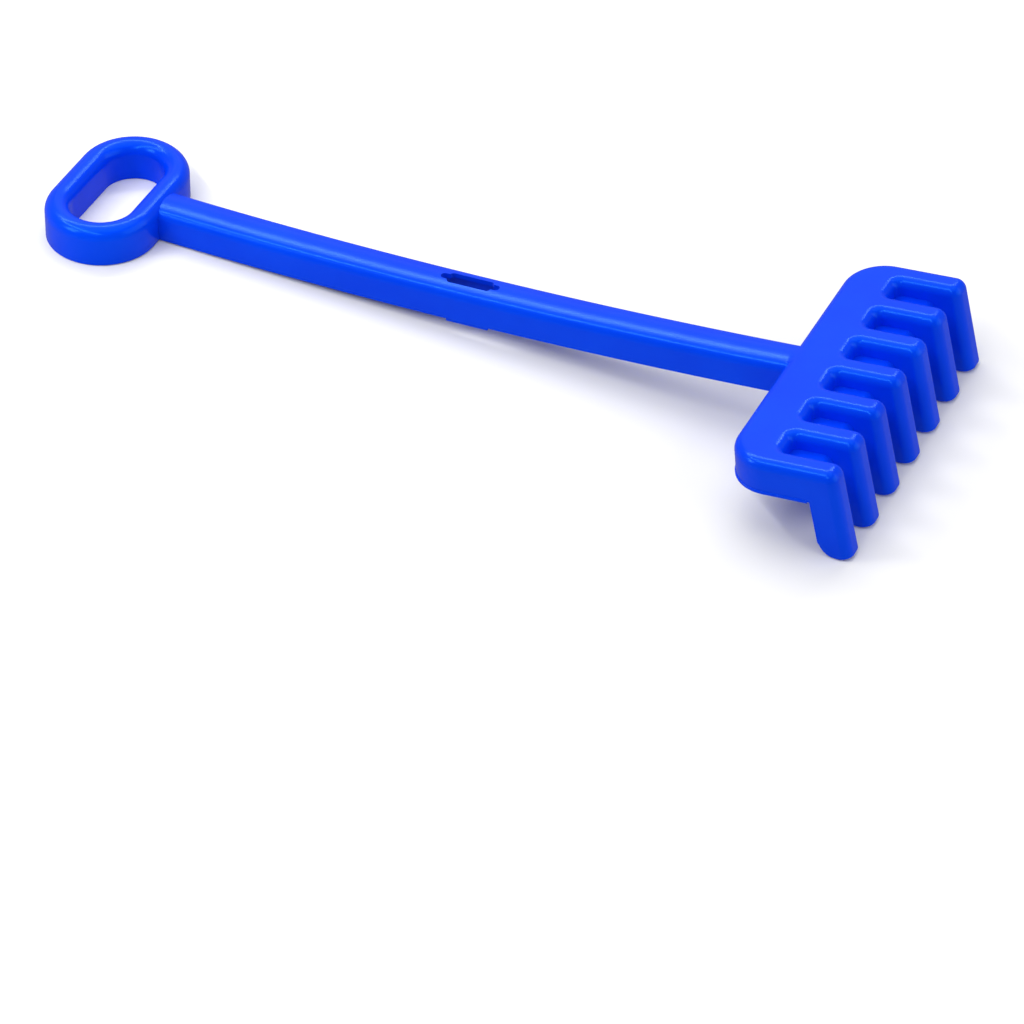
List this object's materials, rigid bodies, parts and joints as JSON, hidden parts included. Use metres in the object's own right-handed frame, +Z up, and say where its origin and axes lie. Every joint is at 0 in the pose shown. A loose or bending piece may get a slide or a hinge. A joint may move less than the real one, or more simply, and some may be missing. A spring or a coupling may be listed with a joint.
{
  "type": "toy sand rake",
  "caption": "Open-backed moulded plastic toy rake with a loop grip, a bowed channel shaft with a hanging slot, and a head whose channel tines bend down from its front edge",
  "frame": {"origin": "middle of the bottom of the bounding box, on the floor that the tine tips and the back of the loop rest on", "axes": "+X runs from the loop grip to the tines, +Y to the far end of the head in the picture, +Z up"},
  "size_m": [0.4906, 0.1838, 0.0503],
  "materials": {
    "blue_polypropylene": "gloss"
  },
  "bodies": {
    "root": {"handle_loop": "blue_polypropylene", "shaft": "blue_polypropylene", "head_shell": "blue_polypropylene", "tine_1": "blue_polypropylene", "tine_2": "blue_polypropylene", "tine_3": "blue_polypropylene", "tine_4": "blue_polypropylene", "tine_5": "blue_polypropylene", "tine_6": "blue_polypropylene", "tine_7": "blue_polypropylene", "web_1": "blue_polypropylene", "web_2": "blue_polypropylene", "web_3": "blue_polypropylene", "web_4": "blue_polypropylene", "web_5": "blue_polypropylene", "web_6": "blue_polypropylene"}
  },
  "joints": []
}
